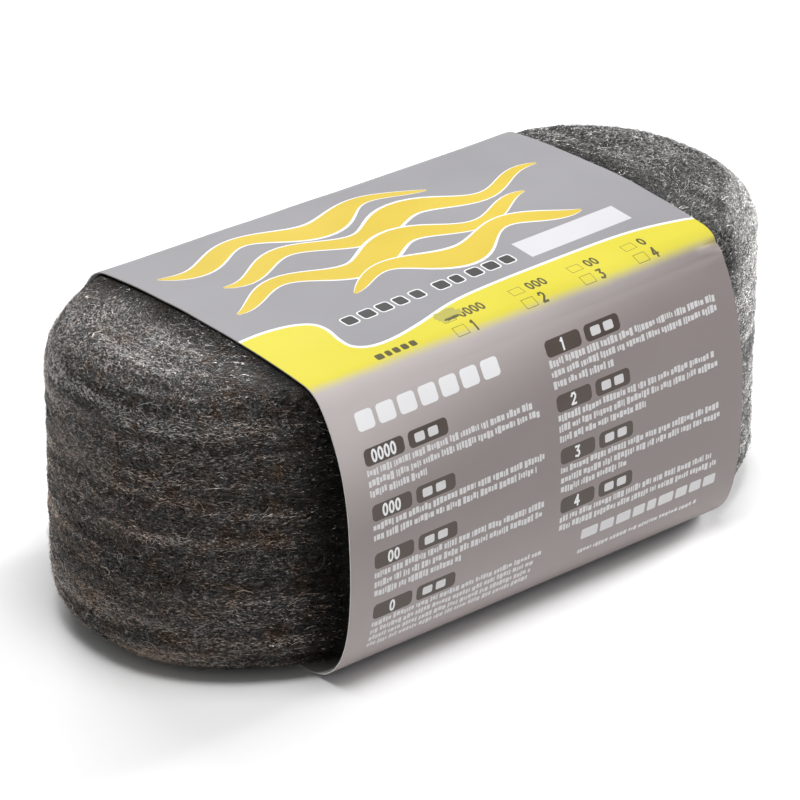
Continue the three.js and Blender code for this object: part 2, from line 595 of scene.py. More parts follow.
@dataclass(frozen=True)
class FinePrint:
    """Lines of small dashes: lengths, gaps, dashes to a word, and how ragged their ends are."""

    dash: Limits = (0.3, 0.9)
    gap: float = 0.2
    word_gap: float = 0.6
    word: tuple[int, int] = (3, 8)
    ragged: float = 0.26
    least: float = 0.4

    def dashes(self, rng: np.random.Generator, x: float, down: float, wide: float, tall: float) -> list[Bar]:
        """Draws one line.

        Args:
            rng: Draws the dashes' lengths.
            x: Left edge.
            down: Upper edge.
            wide: Length of the line.
            tall: Height of the dashes.

        Returns:
            The dashes.
        """
        bars = []
        at = x
        left = rng.integers(*self.word)
        while at < x + wide - self.least:
            mark = rng.uniform(*self.dash)
            upper, lower = rng.uniform(0, self.ragged, 2) * tall
            bars.append(Bar(at, down + upper, mark, tall - upper - lower))
            left -= 1
            at += mark + (self.gap if left else self.word_gap)
            left = left or rng.integers(*self.word)
        return bars


@dataclass(frozen=True)
class BadgeColumn:
    """One column of the front: left edge, width, and its badges' width, figures, levels and lines."""

    x: float
    wide: float
    badge: float
    figures: tuple[str, ...]
    levels: tuple[float, ...]
    lines: tuple[int, ...]


@dataclass
class PrintSheet:
    """Layout of the print, in millimetres on the flat paper from the sleeve's middle and front crease."""

    length: float
    patches: list[Patch] = field(default_factory=list)
    seed: int = 7
    least_area: float = 0.01
    stroke_lap: float = 0.35
    figures: Figures = Figures()
    motif: Motif = Motif()
    fine: FinePrint = FinePrint()

    # The yellow field along the crease
    wave: tuple[Point, ...] = (
        (-54, -21.6), (-46, -22), (-40, -21), (-36.4, -18.8), (-35.5, -15.5), (-36.1, -11), (-35.6, -7.8),
        (-32.5, -5.8), (-27, -5.5), (-19.5, -6.7), (-9, -9.1), (2, -9.9), (26, -9.8), (40, -8.8), (54, -5.2),
    )
    wave_steps: int = 6
    keyline: float = 0.75
    yellow_end: float = 4.5
    lead: Bar = Bar(-34.5, -2.9, 0, 1.5, 0.4)
    lead_dashes: tuple[Limits, ...] = ((0, 1.9), (2.5, 1.3), (4.4, 1.5), (6.5, 1.5), (8.6, 1.5))
    grades: tuple[tuple[float, tuple[str, ...]], ...] = (
        (-5.9, ("0000", "000", "00", "0")),
        (-1.9, ("1", "2", "3", "4")),
    )
    grade_places: tuple[float, ...] = (-15.6, 2.2, 17.6, 32)
    grade_box: Bar = Bar(0, 0, 3, 2.3)
    grade_line: float = 0.12
    grade_figure: Bar = Bar(4.3, -0.2, 0, 2.5)
    blots: tuple[tuple[Ink, Bar], ...] = (
        (Ink.SMUDGE, Bar(-13.2, -5.8, 3.3, 1.9)),
        (Ink.OLIVE, Bar(-13.0, -4.6, 2.2, 0.45)),
    )
    blot_points: int = 26
    blot_ragged: float = 0.2

    # The top
    blank: Bar = Bar(15.2, -19.8, 26.6, 6.6)
    dash: Bar = Bar(-31.2, -17, 0, 2.9, 0.6)
    dash_rim: float = 0.32
    dash_wide: Limits = (2.4, 3.1)
    dash_pitch: float = 4.3
    dash_words: tuple[int, int] = (5, 5)
    dash_word_gap: float = 1.6

    # The front
    front: float = 64
    heading: Bar = Bar(-45.6, 6.0, 4.3, 3.8, 0.8)
    heading_pitch: float = 5.3
    heading_blocks: int = 7
    columns: tuple[BadgeColumn, ...] = (
        BadgeColumn(-46, 44.6, 10.0, ("0000", "000", "00", "0"), (13.2, 24.4, 34.6, 46.0), (3, 2, 3, 4)),
        BadgeColumn(2.4, 44.8, 9.2, ("1", "2", "3", "4"), (7.2, 18.2, 29.2, 40.0), (3, 3, 3, 2)),
    )
    badge: Bar = Bar(0, 0, 0, 3.4, 1.0)
    badge_gap: float = 1.1
    badge_figure: Bar = Bar(0, 0.5, 1.6, 2.4)
    badge_block: Bar = Bar(0, 0.8, 2.5, 1.8, 0.4)
    badge_blocks: tuple[float, ...] = (1.6, 5.0)
    notes_drop: float = 3.8
    notes_pitch: float = 2.1
    notes_tight: float = 1.8
    notes_full: int = 4
    notes_tall: float = 0.8
    notes_short: Limits = (0.3, 0.55)
    notes_long: Limits = (0.94, 1.0)
    foot_mark: Bar = Bar(9.0, 49.4, 0, 2.4, 0.4)
    foot_wide: Limits = (2.4, 5.2)
    foot_gap: float = 0.7
    foot_last: float = 44
    foot_end: float = 46
    foot_line: Bar = Bar(9, 54.4, 33, 1.2)

    def add(self, ink: Ink, outline: np.ndarray | list[Point]) -> None:
        """Prints one shape over what is there, its outline turned the one way that the cutting needs.

        Args:
            ink: Its ink.
            outline: Its outline, in either sense.
        """
        points = np.array(outline, float)
        points[:, 0] = np.clip(points[:, 0], -self.length / 2, self.length / 2)
        ahead = np.roll(points, -1, axis=0)
        area = np.sum(points[:, 0] * ahead[:, 1] - points[:, 1] * ahead[:, 0]) / 2
        if abs(area) > self.least_area:
            self.patches.append(Patch(ink, (points if area > 0 else points[::-1]) * MM))

    def bar(self, ink: Ink, shape: Bar) -> None:
        """Prints a rectangle."""
        self.add(ink, shape.outline())

    def stroke(self, ink: Ink, line: np.ndarray, width: float) -> None:
        """Prints a line as one short bar for each stretch.

        Args:
            ink: Its ink.
            line: Its points.
            width: Its width.
        """
        for start, end in zip(line, line[1:]):
            along = unit(end - start)
            aside = np.array([-along[1], along[0]]) * width / 2
            reach = along * width * self.stroke_lap
            first, last = start - reach, end + reach
            self.add(ink, [first - aside, last - aside, last + aside, first + aside])

    def digits(self, ink: Ink, text: str, x: float, down: float, tall: float) -> None:
        """Prints plain figures from strokes.

        Args:
            ink: Their ink.
            text: Figures from 0 to 4.
            x: Left edge of the first.
            down: Upper edge.
            tall: Height of a figure.
        """
        wide = self.figures.width * tall
        for place, figure in enumerate(text):
            line = np.array(self.figures.line(figure)) * (wide * self.figures.fill, tall)
            self.stroke(ink, line + (x + place * wide, down), self.figures.pen * tall)

    def curve(self, points: tuple[Point, ...]) -> np.ndarray:
        """Draws a smooth line through points.

        Args:
            points: Points that it passes.

        Returns:
            The line's points.
        """
        given = np.array(points, float)
        padded = np.concatenate([given[:1], given, given[-1:]])
        share = np.linspace(0, 1, self.wave_steps, endpoint=False)[:, None]
        runs = []
        for a, b, c, d in zip(padded, padded[1:], padded[2:], padded[3:]):
            bend, twist = 2 * a - 5 * b + 4 * c - d, 3 * b - a - 3 * c + d
            runs.append(0.5 * (2 * b + (c - a) * share + bend * share**2 + twist * share**3))
        return np.concatenate([*runs, given[-1:]])

    def top_marks(self, rng: np.random.Generator) -> None:
        """Prints the blank field and the dark dashes of the top.

        Args:
            rng: Draws the dashes' widths.
        """
        self.bar(Ink.BLANK, self.blank)
        first, second = self.dash_words
        for number, wide in enumerate(rng.uniform(*self.dash_wide, first + second)):
            at = self.dash_pitch * number + self.dash_word_gap * (number >= first)
            mark = replace(self.dash.moved(at), wide=wide)
            self.bar(Ink.WHITE, mark.grown(self.dash_rim))
            self.bar(Ink.DARK, mark)

    def yellow_wave(self) -> None:
        """Prints the yellow field along the crease, with a white line along its wavy upper edge."""
        edge = self.curve(self.wave)
        low = [(edge[-1][0], self.yellow_end), (edge[0][0], self.yellow_end)]
        self.add(Ink.YELLOW, np.concatenate([edge, low]))
        self.stroke(Ink.WHITE, edge, self.keyline)

    def grade_boxes(self) -> None:
        """Prints the lead dashes, the two rows of tick boxes with their figures, and the pen smudge."""
        for start, wide in self.lead_dashes:
            self.bar(Ink.OLIVE, replace(self.lead.moved(start), wide=wide))
        for down, texts in self.grades:
            for x, text in zip(self.grade_places, texts):
                box, figure = self.grade_box.moved(x, down), self.grade_figure.moved(x, down)
                self.bar(Ink.OLIVE, box)
                self.bar(Ink.YELLOW, box.grown(-self.grade_line))
                self.digits(Ink.OLIVE, text, figure.x, figure.down, figure.tall)
        rng = np.random.default_rng(self.seed + 5)
        angles = np.linspace(0, TURN, self.blot_points, endpoint=False)
        reach = 1 + self.blot_ragged * rng.uniform(-1, 1, angles.size)
        rim = np.stack([reach * np.cos(angles), reach * np.sin(angles)], -1)
        for ink, blot in self.blots:
            self.add(ink, rim * (blot.wide, blot.tall) + (blot.x, blot.down))

    def front_panel(self, rng: np.random.Generator) -> None:
        """Prints the front: a heading, two columns of badges with lines of fine print under them, and a foot.

        Args:
            rng: Draws the lines' lengths and dashes.
        """
        for block in range(self.heading_blocks):
            self.bar(Ink.WHITE, self.heading.moved(self.heading_pitch * block))
        for column in self.columns:
            for text, level, count in zip(column.figures, column.levels, column.lines):
                self.badges(column, text, level)
                self.notes(rng, column, level + self.notes_drop, count)
        self.foot_lines(rng)

    def badges(self, column: BadgeColumn, text: str, level: float) -> None:
        """Prints one pair of badges, the first with its figures and the second with two blocks.

        Args:
            column: Column that they stand in.
            text: The figures.
            level: Upper edge.
        """
        other = column.x + column.badge + self.badge_gap
        for x in (column.x, other):
            self.bar(Ink.BADGE, replace(self.badge.moved(x, level), wide=column.badge))
        figure = self.badge_figure
        inset = (column.badge - figure.wide * len(text)) / 2
        self.digits(Ink.WHITE, text, column.x + inset, level + figure.down, figure.tall)
        for step in self.badge_blocks:
            self.bar(Ink.FINE, self.badge_block.moved(other + step, level))

    def notes(self, rng: np.random.Generator, column: BadgeColumn, level: float, count: int) -> None:
        """Prints one block of fine print, whose third line, if it is the last, is short.

        Args:
            rng: Draws the lines' lengths and dashes.
            column: Column that it stands in.
            level: Upper edge.
            count: How many lines it has.
        """
        pitch = self.notes_tight if count == self.notes_full else self.notes_pitch
        for line in range(count):
            short = count == self.notes_full - 1 and line == count - 1
            wide = column.wide * rng.uniform(*(self.notes_short if short else self.notes_long))
            for mark in self.fine.dashes(rng, column.x, level + pitch * line, wide, self.notes_tall * pitch):
                self.bar(Ink.FINE, mark)

    def foot_lines(self, rng: np.random.Generator) -> None:
        """Prints the two lines at the front's lower right.

        Args:
            rng: Draws their marks.
        """
        mark = self.foot_mark
        while mark.x < self.foot_last:
            wide = rng.uniform(*self.foot_wide)
            self.bar(Ink.FINE, replace(mark, wide=min(wide, self.foot_end - mark.x)))
            mark = mark.moved(wide + self.foot_gap)
        line = self.foot_line
        for dash in self.fine.dashes(rng, line.x, line.down, line.wide, line.tall):
            self.bar(Ink.FINE, dash)

    def lay_out(self) -> list[Patch]:
        """Prints everything, in order.

        Returns:
            The printed shapes, later ones over earlier ones.
        """
        rng = np.random.default_rng(self.seed)
        self.bar(Ink.FRONT, Bar(-self.length / 2, 0, self.length, self.front))
        for ink, outline in self.motif.outlines():
            self.add(ink, outline)
        self.top_marks(rng)
        self.yellow_wave()
        self.grade_boxes()
        self.front_panel(rng)
        return self.patches


@dataclass(frozen=True)
class Fade:
    """Where an ink turns into another colour down the paper, in heights of the sleeve's map; the sleeve's
    fades are painted light.
    """

    colour: Colour
    start: float
    end: float
    lean: float
    drift: float = 0.003
    drift_scale: float = 90
    drift_detail: float = 2

    def share(self, shader: Shader) -> bpy.types.NodeSocket:
        """Gives the share of the other colour at a place on the map.

        Args:
            shader: Material that fades.

        Returns:
            The share, from 0 to 1.
        """
        spot = shader.split(shader.mapped())
        height = shader.maths("MULTIPLY_ADD", spot[0], self.lean, spot[1])
        cloud = shader.noise(self.drift_scale, self.drift_detail, shader.place())
        drift = shader.maths("MULTIPLY_ADD", cloud, self.drift, height)
        return shader.ranged(drift, self.start, self.end, ease="SMOOTHSTEP")


@dataclass(frozen=True)
class PaperFinish:
    """Printed paper: an ink's two close colours and sheen, with the paper's clouds and fibres under it."""

    name: str
    colour: Colour
    other: Colour
    roughness: float = 0.45
    grain: float = 0.35
    cloud_scale: float = 38
    fibre_scale: float = 2600
    fibre_share: float = 0.25
    tones: Limits = (0.3, 0.72)
    clouds: Limits = (0.3, 0.7)
    uneven_sheen: float = 0.06
    specular: float = 0.42
    grain_depth: float = 0.03 * MM

    def build(self, edge: Fade | None = None, below: Fade | None = None) -> bpy.types.Material:
        """Makes the material.

        Args:
            edge: Where the ink fades out, if it does, which on the sleeve paints light down the front.
            below: Where the colour that it fades into changes in turn, also painted light.

        Returns:
            The material.
        """
        shader = Shader(self.name)
        place = shader.place()
        cloud = shader.noise(self.cloud_scale, 3, place)
        fibre = shader.noise(self.fibre_scale, 4, place, 0.65)
        tone = shader.maths("MULTIPLY", cloud, 1 - self.fibre_share)
        tone = shader.maths("ADD", tone, shader.maths("MULTIPLY", fibre, self.fibre_share))
        colour = shader.ramp(tone, ((self.tones[0], self.colour), (self.tones[1], self.other)))
        if edge:
            into = shader.mix(below.share(shader), edge.colour, below.colour) if below else edge.colour
            colour = shader.mix(edge.share(shader), colour, into)
        sheen = (self.roughness - self.uneven_sheen, self.roughness + self.uneven_sheen)
        shader.set(Base_Color=colour, Specular_IOR_Level=self.specular)
        shader.set(Roughness=shader.ranged(cloud, *self.clouds, *sheen))
        shader.bump(fibre, self.grain_depth, self.grain)
        return shader.material


@dataclass(frozen=True)
class SleeveInks:
    """Every ink of the sleeve, and the greys that its front passes through on the way down: pale is a painted
    highlight below the front crease, front is the front's own grey, and foot is painted light, lighter
    towards the foot.
    """

    # pale and foot are painted light on the front: a highlight below the crease and a lighter foot.
    pale: Colour = (0.48, 0.437, 0.432)
    front: Colour = (0.254, 0.218, 0.212)
    foot: Colour = (0.385, 0.338, 0.333)

    def finish(self, ink: Ink) -> PaperFinish:
        """Gives the finish of one ink.

        Args:
            ink: The ink.

        Returns:
            Its finish.
        """
        return {
            Ink.PAPER: PaperFinish("grey_paper", (0.272, 0.266, 0.281), (0.298, 0.291, 0.307), 0.46),
            Ink.YELLOW: PaperFinish("yellow_field", (0.640, 0.566, 0.046), (0.668, 0.595, 0.054), 0.42),
            Ink.WHITE: PaperFinish("white_ink", (0.77, 0.77, 0.79), (0.82, 0.82, 0.83)),
            Ink.BADGE: PaperFinish("badge_ink", (0.062, 0.045, 0.038), (0.084, 0.063, 0.052), 0.42),
            Ink.DARK: PaperFinish("dark_ink", (0.050, 0.049, 0.049), (0.072, 0.070, 0.070)),
            Ink.GOLD: PaperFinish("gold_ink", (0.60, 0.445, 0.040), (0.66, 0.495, 0.055), 0.42),
            Ink.SMUDGE: PaperFinish("pen_smudge", (0.36, 0.335, 0.085), (0.50, 0.45, 0.08), 0.5),
            # The front's grey starts as the painted highlight below the crease.
            Ink.FRONT: PaperFinish("grey_front_painted_light", self.pale, self.pale, 0.46),
            Ink.INSIDE: PaperFinish("bare_paper", (0.62, 0.61, 0.58), (0.70, 0.69, 0.66), 0.75, 0.6),
            Ink.FINE: PaperFinish("fine_ink", (0.62, 0.61, 0.62), (0.68, 0.67, 0.68)),
            Ink.OLIVE: PaperFinish("olive_ink", (0.085, 0.076, 0.030), (0.125, 0.110, 0.042)),
            Ink.BLANK: PaperFinish("blank_field", (0.60, 0.595, 0.625), (0.625, 0.62, 0.65)),
        }[ink]


@dataclass(frozen=True)
class Dent:
    """A small hollow in the paper, or a swelling if its depth is negative."""

    x: float
    down: float
    wide: float
    tall: float
    depth: float

    def at(self, x: np.ndarray, down: np.ndarray) -> np.ndarray:
        """Gives the hollow's depth at places on the flat paper."""
        return self.depth * np.exp(-(((x - self.x) / self.wide) ** 2) - ((down - self.down) / self.tall) ** 2)


@dataclass
class PaperSleeve:
    """The paper band round the roll: one sheet, printed outside, closed by a glued lap on the back."""

    waist: Waist
    inks: SleeveInks = SleeveInks()
    length: float = 104 * MM
    paper: float = 0.3 * MM
    fit: float = 0.3 * MM
    squeeze: float = 7 * MM
    rise: float = 2.4 * MM
    lap_start: float = 72 * MM
    lap: float = 12 * MM
    sheet: float = 0.24 * MM
    lap_ramp: float = 4 * MM
    glue: float = 0.03 * MM
    broad_wave: float = 0.14 * MM
    fine_wave: float = 0.07 * MM
    wave_stretch: float = 0.8
    mouth_lift: float = 0.12 * MM
    mouth_uneven: float = 0.6
    mouth_apart: float = 0.25
    mouth_reach: float = 9 * MM
    stand_off: float = 0.1 * MM
    foot_flat: Limits = (36 * MM, 44 * MM)
    dents: tuple[Dent, ...] = (
        Dent(51 * MM, 1.9 * MM, 2.8 * MM, 0.65 * MM, 0.6 * MM),
        Dent(50 * MM, 4.0 * MM, 3 * MM, 1.4 * MM, -0.3 * MM),
    )
    mesh_step: float = 2.1 * MM
    mouth_step: float = 0.7 * MM
    crease_step: float = 0.5 * MM
    crease_rows: int = 5
    merge: float = 1e-4
    normal_step: float = 0.15 * MM
    map_inset: float = 0.02
    map_inside: float = 0.5
    # These fades paint light down the sleeve's front: a highlight along and below the crease that dies off
    # down the front, and lighter paper towards the foot.
    painted_crease_highlight: tuple[float, float, float] = (-1.7 * MM, 1.2 * MM, -0.02)
    painted_highlight_falloff: tuple[float, float, float] = (6.5 * MM, 34 * MM, 0.25)
    painted_foot_light: tuple[float, float, float] = (20 * MM, 62 * MM, -0.22)
    form: SleeveForm = field(init=False)

    def __post_init__(self) -> None:
        """Measures the surface that the paper lies on."""
        self.form = SleeveForm(self.waist, self.length, self.fit, self.paper, self.squeeze, self.rise)
        self.outer_end = -(self.form.reach - self.form.crease) - (self.form.reach - self.lap_start)
        self.inner_end = self.form.crease + self.lap_start + self.lap
        self.girth = self.inner_end - self.outer_end
        self.broad, self.fine, self.curl = Lattice(3, 5, 16), Lattice(4, 13, 40), Lattice(6, 4, 14)

    def ripple(self, x: np.ndarray, down: np.ndarray) -> np.ndarray:
        """Gives how far the paper stands off its plain form: soft waves, lifted mouths and one dented corner.

        Args:
            x: Place along X.
            down: Distance along the paper from the front crease.

        Returns:
            Distances outward.
        """
        share_x, share_d = (x / self.length + 0.5) * self.wave_stretch, (down - self.outer_end) / self.girth
        waves = self.broad_wave * self.broad.at(share_x, share_d)
        waves = waves + self.fine_wave * self.fine.at(share_x, share_d)
        near, far = self.foot_flat
        before = smooth(self.form.crease - near, self.form.crease - far, down)
        off_foot = np.maximum(before, smooth(self.form.crease + near, self.form.crease + far, down))
        mouth = smooth(self.length / 2 - self.mouth_reach, self.length / 2, np.abs(x))
        curl = self.mouth_uneven * (1 + self.curl.at(np.sign(x) * self.mouth_apart + 0.5, share_d))
        lifted = self.mouth_lift * mouth * curl
        return (waves + lifted + self.stand_off) * off_foot - sum(dent.at(x, down) for dent in self.dents)

    def surface(self, x: np.ndarray, down: np.ndarray, face: float) -> np.ndarray:
        """Puts points of the sheet in place.

        Args:
            x: Place along X.
            down: Distance along the paper from the front crease.
            face: 1 for the printed face, 0 for the inner face.

        Returns:
            Points in the pad's frame.
        """
        on_lap = smooth(self.outer_end + self.lap + self.lap_ramp, self.outer_end + self.lap, down)
        under_lap = down > self.inner_end - self.lap
        lift = self.ripple(x, np.where(under_lap, down - 2 * self.form.reach, down))
        return self.form.place(x, down, lift + self.sheet * face + on_lap * (self.sheet + self.glue))

    def grid(self) -> np.ndarray:
        """Spreads points over the flat sheet, closer together at the mouths and along both creases.

        Returns:
            Places on the sheet, by their column and row.
        """
        edge, back_crease = self.length / 2, -2 * (self.form.reach - self.form.crease)
        across = np.linspace(-edge, edge, int(self.length / self.mesh_step) + 1)
        down = np.linspace(self.outer_end, self.inner_end, int(self.girth / self.mesh_step) + 1)
        mouths = (-edge + self.mouth_step, edge - self.mouth_step)
        rows = range(-self.crease_rows, self.crease_rows + 1)
        creases = [crease + row * self.crease_step for crease in (0, back_crease) for row in rows]
        across, down = np.unique([*across, *mouths]), np.unique([*down, *creases])
        return np.stack(np.meshgrid(across, down, indexing="ij"), -1)

    def flat_mesh(self, patches: list[Patch]) -> tuple[np.ndarray, np.ndarray, np.ndarray]:
        """Cuts the flat sheet into triangles along the print.

        Args:
            patches: The printed shapes.

        Returns:
            Points on the flat paper, triangles, and the ink of each triangle.
        """
        grid = self.grid()
        rim = np.concatenate([grid[:, 0], grid[-1, 1:], grid[::-1, -1][1:], grid[0, ::-1][1:-1]])
        points = list(rim)
        faces = [list(range(len(points)))]
        for patch in patches:
            faces.append(list(range(len(points), len(points) + len(patch.outline))))
            points.extend(patch.outline)
        points.extend(grid[1:-1, 1:-1].reshape(-1, 2))
        scale = 1 / MM
        made = delaunay_2d_cdt([Vector(p) * scale for p in points], [], faces, 1, self.merge)
        places, _, triangles, _, _, origins = made
        inks = [patches[max(o) - 1].ink.value if max(o) else Ink.PAPER.value for o in origins]
        return np.array([tuple(p) for p in places]) / scale, np.array(triangles), np.array(inks)

    def build(self) -> bpy.types.Object:
        """Makes the printed sleeve.

        Returns:
            The sleeve as one piece.
        """
        flat, triangles, inks = self.flat_mesh(PrintSheet(self.length / MM).lay_out())
        x, down = flat.T
        count = len(flat)
        outer, inner = self.surface(x, down, 1.0), self.surface(x, down, 0.0)
        a, b, c = (outer[triangles[:, k]] for k in range(3))
        outward = np.cross(b - a, c - a) * (0, 1, 1)
        centre = (a + b + c) / 3 - (0, 0, self.waist.belly)
        turned_in = np.einsum("ij,ij->i", outward, centre) < 0
        triangles[turned_in] = triangles[turned_in][:, ::-1]
        rim = self.rim_faces(triangles, count)
        faces = np.concatenate([triangles, triangles[:, ::-1] + count, rim])
        mesh = new_mesh("paper_sleeve_print", np.concatenate([outer, inner]), faces)
        numbers = np.concatenate([inks, np.full(len(triangles) + len(rim), Ink.INSIDE.value)])
        mesh.polygons.foreach_set("material_index", numbers.astype(np.int32))
        self.map_sheet(mesh, x, down, faces)
        self.shade(mesh, x, down, faces, len(triangles))
        sleeve = new_object("printed_sleeve", mesh, self.finishes())
        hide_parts("paper_sleeve")
        return sleeve

    def rim_faces(self, triangles: np.ndarray, count: int) -> np.ndarray:
        """Closes the sheet along its cut edges.

        Args:
            triangles: Triangles of the printed face.
            count: How many points one face of the sheet has.

        Returns:
            Triangles of the sheet's edge.
        """
        edges = np.sort(np.concatenate([triangles[:, [0, 1]], triangles[:, [1, 2]], triangles[:, [2, 0]]]), 1)
        whole, times = np.unique(edges, axis=0, return_counts=True)
        cut_edges = {tuple(edge) for edge in whole[times == 1]}
        rim = []
        for triangle in triangles:
            for start, end in zip(triangle, np.roll(triangle, -1)):
                if (min(start, end), max(start, end)) in cut_edges:
                    rim += [(end, start, start + count), (end, start + count, end + count)]
        return np.array(rim)

    def map_sheet(self, mesh: bpy.types.Mesh, x: np.ndarray, down: np.ndarray, faces: np.ndarray) -> None:
        """Lays the sheet's two faces side by side on its map.

        Args:
            mesh: The sleeve's mesh.
            x: Place of each flat point along X.
            down: Distance of each flat point along the paper.
            faces: The mesh's triangles.
        """
        number = faces.ravel()
        point = number % len(x)
        inset = np.where(number >= len(x), self.map_inside, self.map_inset)
        across = (x[point] + self.length / 2) / self.girth + inset
        set_map(mesh, np.stack([across, (down[point] - self.outer_end) / self.girth], -1))

    def shade(
        self, mesh: bpy.types.Mesh, x: np.ndarray, down: np.ndarray, faces: np.ndarray, outside: int
    ) -> None:
        """Gives the sheet the normals of its smooth form, whatever triangles the print cut it into.

        Args:
            mesh: The sleeve's mesh.
            x: Place of each flat point along X.
            down: Distance of each flat point along the paper.
            faces: The mesh's triangles.
            outside: How many of them the printed face has.
        """
        step, edge = self.normal_step, self.length / 2
        right, left = np.minimum(x + step, edge), np.maximum(x - step, -edge)
        along_x = self.surface(right, down, 1.0) - self.surface(left, down, 1.0)
        along_d = self.surface(x, down + step, 1.0) - self.surface(x, down - step, 1.0)
        outer, inner = self.surface(x, down, 1.0), self.surface(x, down, 0.0)
        normal = unit(np.cross(along_x, along_d))
        normal *= np.sign(np.einsum("ij,ij->i", normal, outer - inner))[:, None]
        rim = faces[2 * outside:]
        a, b, c = (np.concatenate([outer, inner])[rim[:, k]] for k in range(3))
        corner_normals = np.concatenate([
            normal[faces[:outside].ravel()],
            -normal[faces[outside:2 * outside].ravel() - len(x)],
            np.repeat(unit(np.cross(b - a, c - a)), 3, axis=0),
        ])
        mesh.normals_split_custom_set(corner_normals.tolist())

    def fade(self, colour: Colour, start: float, end: float, lean: float) -> Fade:
        """Makes a fade from distances along the paper at the -X mouth.

        Args:
            colour: Colour that it ends in.
            start: Where it starts.
            end: Where it ends.
            lean: How much sooner it comes for each step along X.

        Returns:
            The fade, in heights of the map.
        """
        first, last = ((at - self.outer_end) / self.girth + self.map_inset * lean for at in (start, end))
        return Fade(colour, first, last, lean)

    def finishes(self) -> list[bpy.types.Material]:
        """Makes the sleeve's materials.

        Returns:
            The materials, in the order of the inks.
        """
        # Painted light: the yellow fades into the painted highlight below the crease, which dies off into the
        # front's grey, which grows lighter towards the foot.
        edge = self.fade(self.inks.pale, *self.painted_crease_highlight)
        front = self.fade(self.inks.front, *self.painted_highlight_falloff)
        foot = self.fade(self.inks.foot, *self.painted_foot_light)
        fades = {Ink.YELLOW: (edge, front), Ink.FRONT: (front, foot)}
        return [self.inks.finish(ink).build(*fades.get(ink, ())) for ink in Ink]


# Wound roll


